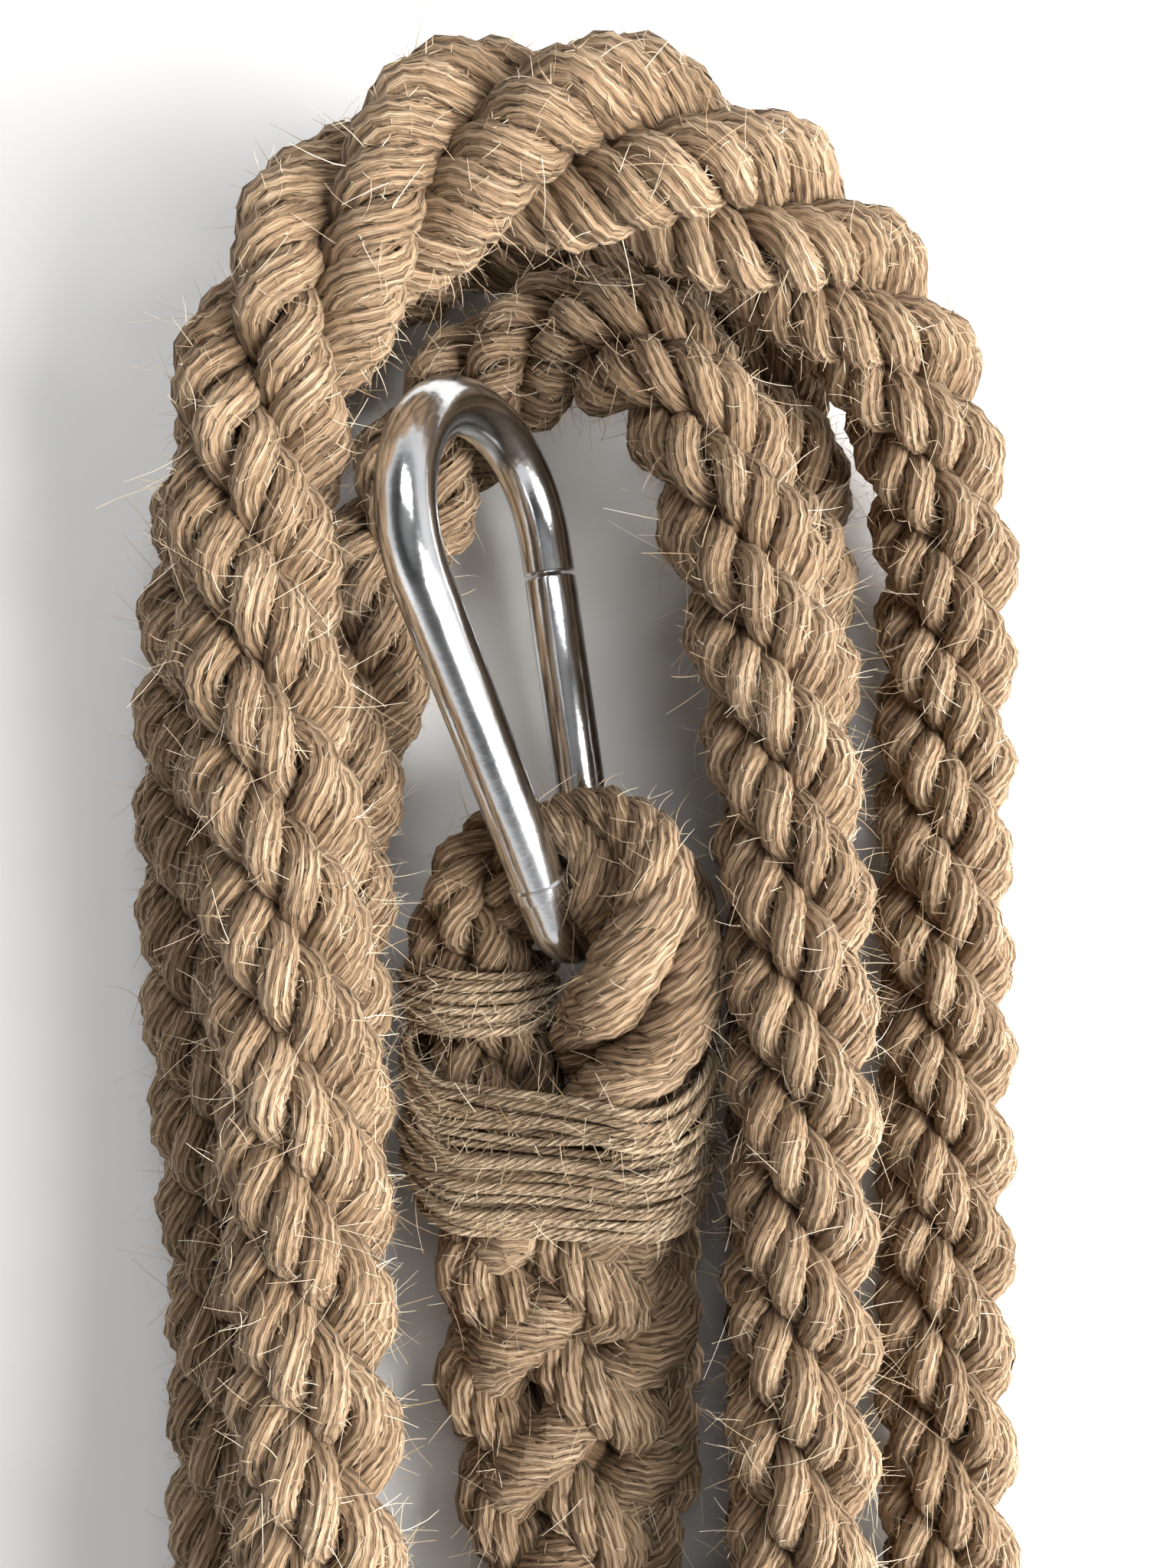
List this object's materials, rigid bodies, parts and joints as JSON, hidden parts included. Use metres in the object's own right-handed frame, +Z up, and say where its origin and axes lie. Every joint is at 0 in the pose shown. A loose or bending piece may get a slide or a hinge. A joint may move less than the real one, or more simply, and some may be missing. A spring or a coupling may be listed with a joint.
{
  "type": "hammock hanging rope with snap hook",
  "caption": "Hank of thick twisted natural fibre rope, its lashed and spliced eye holding a pear shaped spring snap hook, tied across its legs.",
  "frame": {"origin": "centre of the foot of the hank's box, on the floor that it lies on", "axes": "+Z up off the floor, +Y along the hank's legs towards its top turns, X across the hank"},
  "size_m": [0.2004, 0.4606, 0.0959],
  "materials": {
    "jute_rope": "raw natural fibre, hairy",
    "jute_twine": "two-ply natural fibre twine",
    "zinc_steel": "bright zinc plate"
  },
  "bodies": {
    "hank": {"rope_lead": "jute_rope", "bottom_turn_1": "jute_rope", "left_leg_1": "jute_rope", "top_turn_1": "jute_rope", "right_leg_1": "jute_rope", "bottom_turn_2": "jute_rope", "left_leg_2": "jute_rope", "top_turn_2": "jute_rope", "right_leg_2": "jute_rope", "bottom_turn_3": "jute_rope", "left_leg_3": "jute_rope", "top_turn_3": "jute_rope", "right_leg_3": "jute_rope", "eye_left_side": "jute_rope", "eye_crown": "jute_rope", "eye_right_side": "jute_rope", "eye_splice": "jute_rope", "side_seizing": "jute_twine", "upper_seizing": "jute_twine", "lower_seizing": "jute_twine", "end_whipping": "jute_twine", "hank_tie": "jute_twine"},
    "hook": {"hook_body": "zinc_steel", "collar_ring": "zinc_steel", "hinge_rivet": "zinc_steel"},
    "gate": {"gate": "zinc_steel", "gate_spring": "zinc_steel"},
    "plunger": {"spring_plunger": "zinc_steel"}
  },
  "joints": [
    {"name": "hook_swing", "type": "hinge", "parent": "hank", "child": "hook", "pos_m": [-0.00567, 0.07772, 0.03544], "axis": [0.8851, 0.0957, 0.4555], "range_deg": [0, 45]},
    {"name": "gate_hinge", "type": "hinge", "parent": "hook", "child": "gate", "pos_m": [0.00087, 0.07695, 0.02289], "axis": [0.8851, 0.0957, 0.4555], "range_deg": [0, 25], "stiffness_Nm_per_rad": 0.25, "springref_deg": -45.84},
    {"name": "plunger_slide", "type": "slide", "parent": "gate", "child": "plunger", "axis": [-0.1418, 0.9875, 0.0681], "range_m": [0, 0.0009]}
  ],
  "couplings": [
    {"joint": "plunger_slide", "follows": "gate_hinge", "m_per_rad": 0.002}
  ]
}
